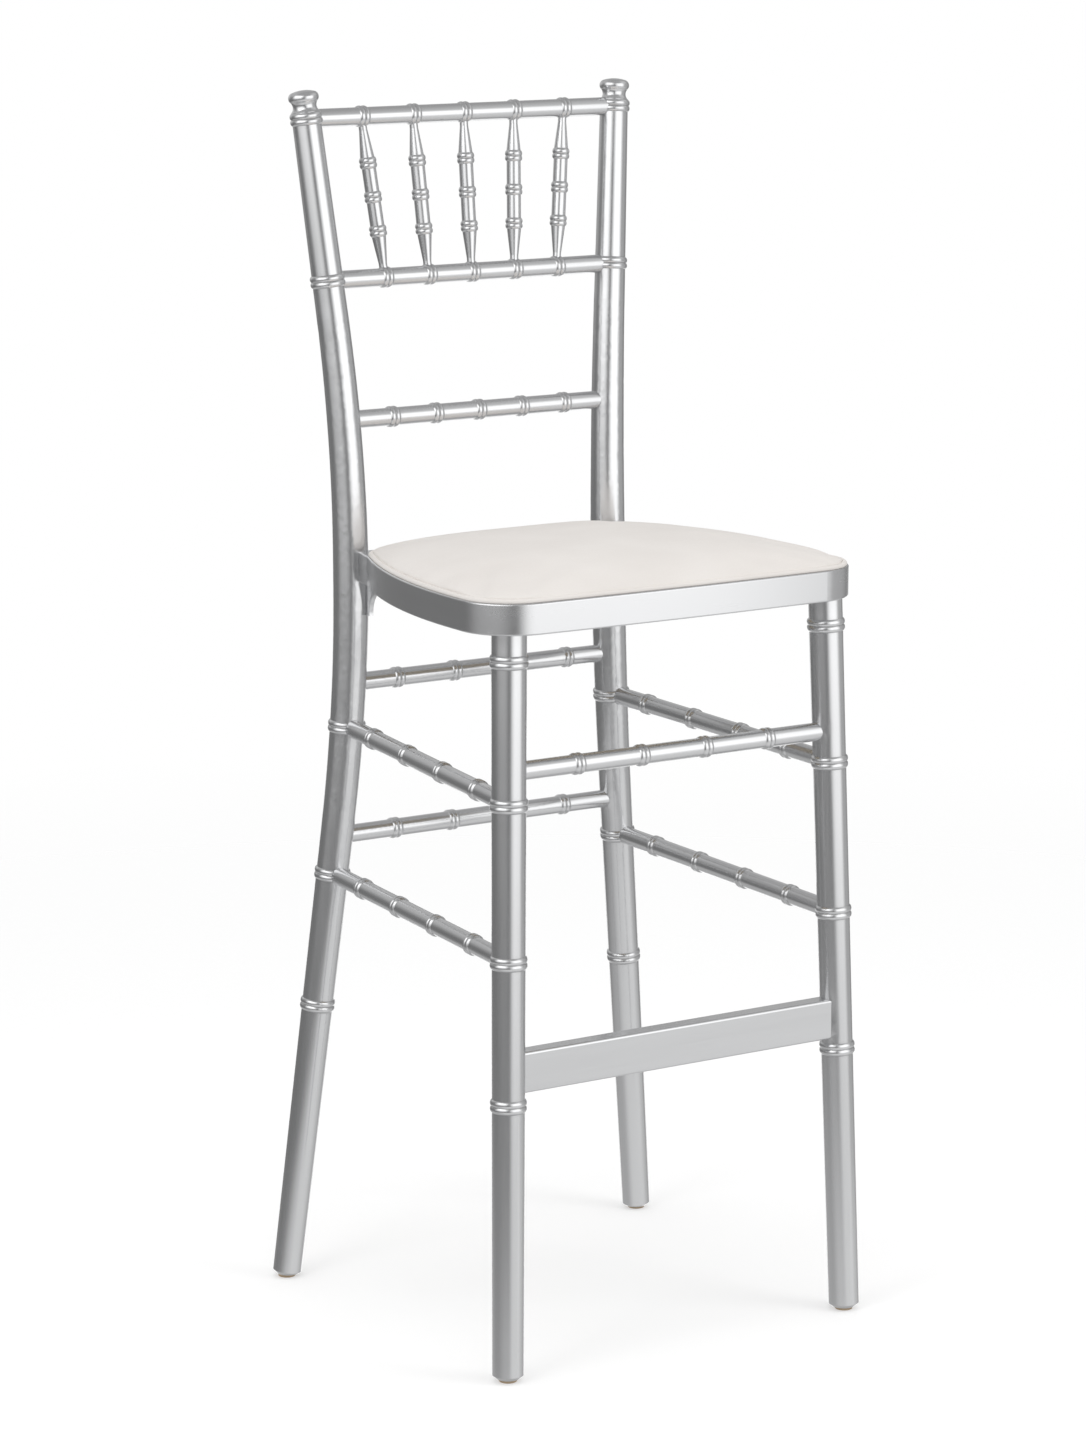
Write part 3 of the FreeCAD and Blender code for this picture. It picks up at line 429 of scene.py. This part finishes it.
def swell(piece, cap):
    """Blows a piece up by cloth simulation, with its underside held still."""
    start = [point.co.copy() for point in piece.data.vertices]
    floor_level = min(co.z for co in start) + PAD_VOXEL / 5
    held = piece.vertex_groups.new(name="held")
    held.add([i for i, co in enumerate(start) if co.z < floor_level], 1.0, "REPLACE")
    cloth = piece.modifiers.new("swell", "CLOTH")
    cloth.settings.vertex_group_mass = held.name
    cloth.settings.use_pressure = True
    cloth.settings.uniform_pressure_force = PRESSURE
    cloth.settings.effector_weights.gravity = 0.0
    cloth.settings.tension_stiffness = STIFFNESS
    cloth.settings.compression_stiffness = STIFFNESS
    cloth.settings.shear_stiffness = STIFFNESS
    cloth.settings.bending_stiffness = BENDING
    cloth.settings.air_damping = AIR_DAMPING
    cloth.point_cache.frame_end = SWELL_FRAMES
    for step in range(1, SWELL_FRAMES + 1):
        bpy.context.scene.frame_set(step)
    only(piece)
    bpy.ops.object.modifier_apply(modifier=cloth.name)
    bpy.context.scene.frame_set(1)
    furthest = 0.0
    for point, old in zip(piece.data.vertices, start):
        move = point.co - old
        furthest = max(furthest, move.length)
        if move.length > cap:
            point.co = old + move * (cap / move.length)
    piece.vertex_groups.clear()
    print(piece.name, "moved up to", round(furthest * 1000, 2), "mm before the cap")


# %% Pad: run the simulation and smooth the result
PAD_SMOOTHING = 10
swell(pad, SWELL_CAP)
smooth(pad, PAD_SMOOTHING)
finer = pad.modifiers.new("finer", "SUBSURF")
finer.levels = 1
finer.render_levels = 1
only(pad)
bpy.ops.object.modifier_apply(modifier=finer.name)
bpy.ops.object.shade_smooth()
pad_top = max(point.co.z for point in pad.data.vertices)
print("Pad top above the rim:", round((pad_top - RIM) * 1000, 1), "mm")

# %% [markdown]
# ## The rolled border
# Round its lower edge the vinyl is turned over a thin cord and pulled tight, which leaves a small
# roll lying on the lip of the seat frame, with a fine crease above it. The foam's outline gives
# the line that the roll follows, and a round section along that line gives the roll. Its underside
# is pressed flat, because the roll sits on the lip and doesn't hover over it.

# %% Rolled border
ROLL_RADIUS = 0.0030
ROLL_OFFSET = 0.0012
ROLL_HEIGHT = RIM + 0.0008
ROLL_FOOT = RIM + 0.0001
roll = foam_outline("seat_pad_border", ROLL_HEIGHT, ROLL_OFFSET)
bpy.ops.object.convert(target="CURVE")
roll = bpy.context.object
roll.data.bevel_depth = ROLL_RADIUS
roll.data.bevel_resolution = 4
bpy.ops.object.convert(target="MESH")
roll = bpy.context.object
bpy.ops.object.mode_set(mode="EDIT")
bpy.ops.mesh.select_all(action="SELECT")
bpy.ops.mesh.remove_doubles(threshold=SAME_POINT)
bpy.ops.mesh.normals_make_consistent(inside=False)
bpy.ops.object.mode_set(mode="OBJECT")
for point in roll.data.vertices:
    point.co.z = max(point.co.z, ROLL_FOOT)
bpy.ops.object.shade_smooth()
print("Roll points:", len(roll.data.vertices))

# %% [markdown]
# ## Off-white vinyl
# The cover is a soft, embossed vinyl. Seen close, its skin is a web of fine pebbles about a
# millimetre wide. The colour is a warm white that drifts very slightly over the seat.

# %% Vinyl
PEBBLES_PER_METRE = 850
PEBBLE_DEPTH = 0.00012
FINE_PER_METRE = 2600
FINE_DEPTH = 0.00003
DARK_VINYL = (0.775, 0.735, 0.700)
LIGHT_VINYL = (0.840, 0.805, 0.772)


def pale_vinyl():
    finish, tree, shader = start_finish("pale_vinyl")
    plain = laid_on(tree)
    drift = noise(tree, plain, 14, 2.0)
    warp = noise(tree, plain, 300, 2.0)
    pebble = cells(tree, plain, PEBBLES_PER_METRE, "SMOOTH_F1")
    fine = noise(tree, plain, FINE_PER_METRE, 2.0)
    share = combined(tree, ranged(tree, drift, 0.3, 0.7, 0.25, 0.75),
                     ranged(tree, pebble, 0.0, 0.6, -0.15, 0.15))
    tree.links.new(tinted(tree, share, DARK_VINYL, LIGHT_VINYL), shader.inputs["Base Color"])
    tree.links.new(ranged(tree, warp, 0.3, 0.7, 0.46, 0.56), shader.inputs["Roughness"])
    shader.inputs["Specular IOR Level"].default_value = 0.4
    relief = raised(tree, pebble, PEBBLE_DEPTH)
    relief = raised(tree, fine, FINE_DEPTH, relief)
    tree.links.new(relief, shader.inputs["Normal"])
    return finish


vinyl = pale_vinyl()
for piece in (pad, roll):
    piece.data.materials.clear()
    piece.data.materials.append(vinyl)
    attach(piece, "root")
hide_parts("seat_cover", "seat_foam")

# %% [markdown]
# ## The studio floor
# The stool stands on a sheet of white paper, which keeps its soft shadow and fades into the white
# background further out, so that no edge of the paper shows. A little glow for the camera alone
# lifts the paper to a clean white without more light on the stool.

# %% Floor
FLOOR_SIZE = 14
FLOOR_GLOW = 0.395
FADE_START, FADE_END = 0.7, 2.6
bpy.ops.object.select_all(action="DESELECT")
bpy.ops.mesh.primitive_plane_add(size=FLOOR_SIZE, location=(0, 0, 0))
floor = bpy.context.object
floor.name = "paper_floor"
paper, tree, shader = start_finish("white_paper")
tooth = noise(tree, laid_on(tree), 400, 3.0)
tree.links.new(tinted(tree, tooth, (0.72, 0.72, 0.72), (0.74, 0.74, 0.74)),
               shader.inputs["Base Color"])
shader.inputs["Roughness"].default_value = 0.95
shader.inputs["Specular IOR Level"].default_value = 0.1
path = tree.nodes.new("ShaderNodeLightPath")
lift = combined(tree, path.outputs["Is Camera Ray"], FLOOR_GLOW, "MULTIPLY")
shader.inputs["Emission Color"].default_value = (1, 1, 1, 1)
tree.links.new(lift, shader.inputs["Emission Strength"])
far = tree.nodes.new("ShaderNodeVectorMath")
far.operation = "LENGTH"
tree.links.new(laid_on(tree), far.inputs[0])
fade = ranged(tree, far.outputs["Value"], FADE_START, FADE_END, 0.0, 1.0)
clear = tree.nodes.new("ShaderNodeBsdfTransparent")
join = tree.nodes.new("ShaderNodeMixShader")
tree.links.new(combined(tree, fade, path.outputs["Is Camera Ray"], "MULTIPLY"), join.inputs["Fac"])
tree.links.new(shader.outputs["BSDF"], join.inputs[1])
tree.links.new(clear.outputs["BSDF"], join.inputs[2])
tree.links.new(join.outputs["Shader"], tree.nodes["Material Output"].inputs["Surface"])
floor.data.materials.append(paper)
floor.visible_glossy = False
print("Floor:", floor.name, "of", [round(side, 2) for side in floor.dimensions[:2]], "m")

# %% [markdown]
# ## White all round
# A catalogue picture has no horizon. The world is plain white for the eye, and a softer light for
# everything that it falls on, so the background is bright and the pale seat doesn't burn out.

# %% White background
AMBIENT = 0.655
world = bpy.context.scene.world or bpy.data.worlds.new("studio_world")
bpy.context.scene.world = world
world.use_nodes = True
tree = world.node_tree
tree.nodes.clear()
path = tree.nodes.new("ShaderNodeLightPath")
seen = combined(tree, path.outputs["Is Camera Ray"], path.outputs["Is Glossy Ray"], "MAXIMUM")
seen = combined(tree, seen, path.outputs["Is Transmission Ray"], "MAXIMUM")
soft = tree.nodes.new("ShaderNodeBackground")
soft.inputs["Color"].default_value = (1, 1, 1, 1)
soft.inputs["Strength"].default_value = AMBIENT
white = tree.nodes.new("ShaderNodeBackground")
white.inputs["Color"].default_value = (1, 1, 1, 1)
choose = tree.nodes.new("ShaderNodeMixShader")
tree.links.new(seen, choose.inputs["Fac"])
tree.links.new(soft.outputs["Background"], choose.inputs[1])
tree.links.new(white.outputs["Background"], choose.inputs[2])
sky = tree.nodes.new("ShaderNodeOutputWorld")
tree.links.new(choose.outputs["Shader"], sky.inputs["Surface"])
print("Soft light from all round:", AMBIENT)

# %% [markdown]
# ## What the metal sees
# Satin metal shows what is round it far more than the light that falls on it. So a light tent
# stands round the stool, and only reflections see it. It is grey, with a few soft boxes: a strong
# one at the front right, one high at the left, and weaker ones on the walls and the floor. Each
# round leg then gets a bright streak between darker ones, and each side of the stool has some
# light to show. The tent is one big sphere, and the soft boxes are patches on it with soft edges.

# %% Tent
TENT_RADIUS = 3.0
bpy.ops.object.select_all(action="DESELECT")
bpy.ops.mesh.primitive_uv_sphere_add(segments=64, ring_count=32, radius=TENT_RADIUS)
tent = bpy.context.object
tent.name = "light_tent"
tent.visible_camera = False
tent.visible_diffuse = False
tent.visible_transmission = False
tent.visible_volume_scatter = False
tent.visible_shadow = False
print("Tent:", TENT_RADIUS, "m all round")

# %% Soft boxes on the tent
TENT_FLOOR, TENT_WALL, TENT_ROOF = 0.52, 0.20, 0.42
FLOOR_TO_WALL = (-1.1, -0.4)
WALL_TO_ROOF = (1.6, 2.4)
# Each soft box: turn, plain half width and soft edge in degrees, bottom, its soft edge, top and
# its soft edge in metres, and brightness.
SOFT_BOXES = {
    "front right": (285, 3, 42, -1.2, 1.95, 1.85, 0.7, 1.43),
    "left": (192, 3, 45, -0.3, 2.4, 2.40, 0.2, 1.65),
    "right wall": (340, 2, 45, -0.9, 0.2, 2.50, 0.5, 0.28),
    "floor in front": (268, 30, 80, -2.6, 0.2, -0.65, 0.2, 0.30),
    "low behind": (56, 2, 34, -2.0, 0.8, -0.1, 0.6, 0.95),
    "back wall": (72, 10, 50, 0.2, 1.2, 1.50, 0.8, 0.40),
    "high left": (112, 10, 40, 0.6, 1.2, 2.60, 0.3, 0.14),
}


def soft_box(tree, turn, height, towards, plain, edge, bottom, bottom_edge, top, top_edge, level):
    """Glow of one soft box: full in its middle, and fading out over its soft edges."""
    aside = combined(tree, combined(tree, turn, math.radians(towards), "SUBTRACT"), 0, "COSINE")
    box = eased(tree, aside, math.cos(math.radians(plain + edge)), math.cos(math.radians(plain)))
    box = combined(tree, box, eased(tree, height, bottom, bottom + bottom_edge), "MULTIPLY")
    over = combined(tree, 1, eased(tree, height, top, top + top_edge), "SUBTRACT")
    box = combined(tree, box, over, "MULTIPLY")
    return combined(tree, box, level, "MULTIPLY")


cloth, tree, shader = start_finish("tent_cloth")
spot = tree.nodes.new("ShaderNodeSeparateXYZ")
tree.links.new(laid_on(tree), spot.inputs["Vector"])
turn = combined(tree, spot.outputs["Y"], spot.outputs["X"], "ARCTAN2")
height = spot.outputs["Z"]
walls = combined(tree, eased(tree, height, *FLOOR_TO_WALL), TENT_WALL - TENT_FLOOR, "MULTIPLY")
roof = combined(tree, eased(tree, height, *WALL_TO_ROOF), TENT_ROOF - TENT_WALL, "MULTIPLY")
grey = combined(tree, combined(tree, walls, roof), TENT_FLOOR)
for box in SOFT_BOXES.values():
    grey = combined(tree, grey, soft_box(tree, turn, height, *box))
glow = tree.nodes.new("ShaderNodeEmission")
glow.inputs["Color"].default_value = (1, 1, 1, 1)
tree.links.new(grey, glow.inputs["Strength"])
tree.links.new(glow.outputs["Emission"], tree.nodes["Material Output"].inputs["Surface"])
tree.nodes.remove(shader)
tent.data.materials.append(cloth)
print("Soft boxes:", list(SOFT_BOXES))

# %% [markdown]
# ## Lamps
# The seat pad is matt, so it takes its light from lamps. A large one at the front right, one
# overhead and a weaker one at the left model the pad softly and lay the faint shadow on the floor.


# %% Lamps
def soft_lamp(name, place, breadth, height, watts):
    """A soft box that looks at the seat."""
    bpy.ops.object.select_all(action="DESELECT")
    aim = (Vector((0, 0, RIM)) - Vector(place)).to_track_quat("-Z", "Y").to_euler()
    bpy.ops.object.light_add(type="AREA", location=place, rotation=aim)
    lamp = bpy.context.object
    lamp.name = name
    lamp.data.shape = "RECTANGLE"
    lamp.data.size = breadth
    lamp.data.size_y = height
    lamp.data.energy = watts
    lamp.visible_glossy = False
    print(name, "gives", watts, "W")


soft_lamp("key_soft_box", (1.35, -1.75, 1.7), 1.1, 1.3, 11)
soft_lamp("top_soft_box", (-0.2, -0.1, 2.7), 1.6, 1.6, 11.5)
soft_lamp("fill_soft_box", (-2.1, -0.6, 1.4), 1.0, 1.4, 9)
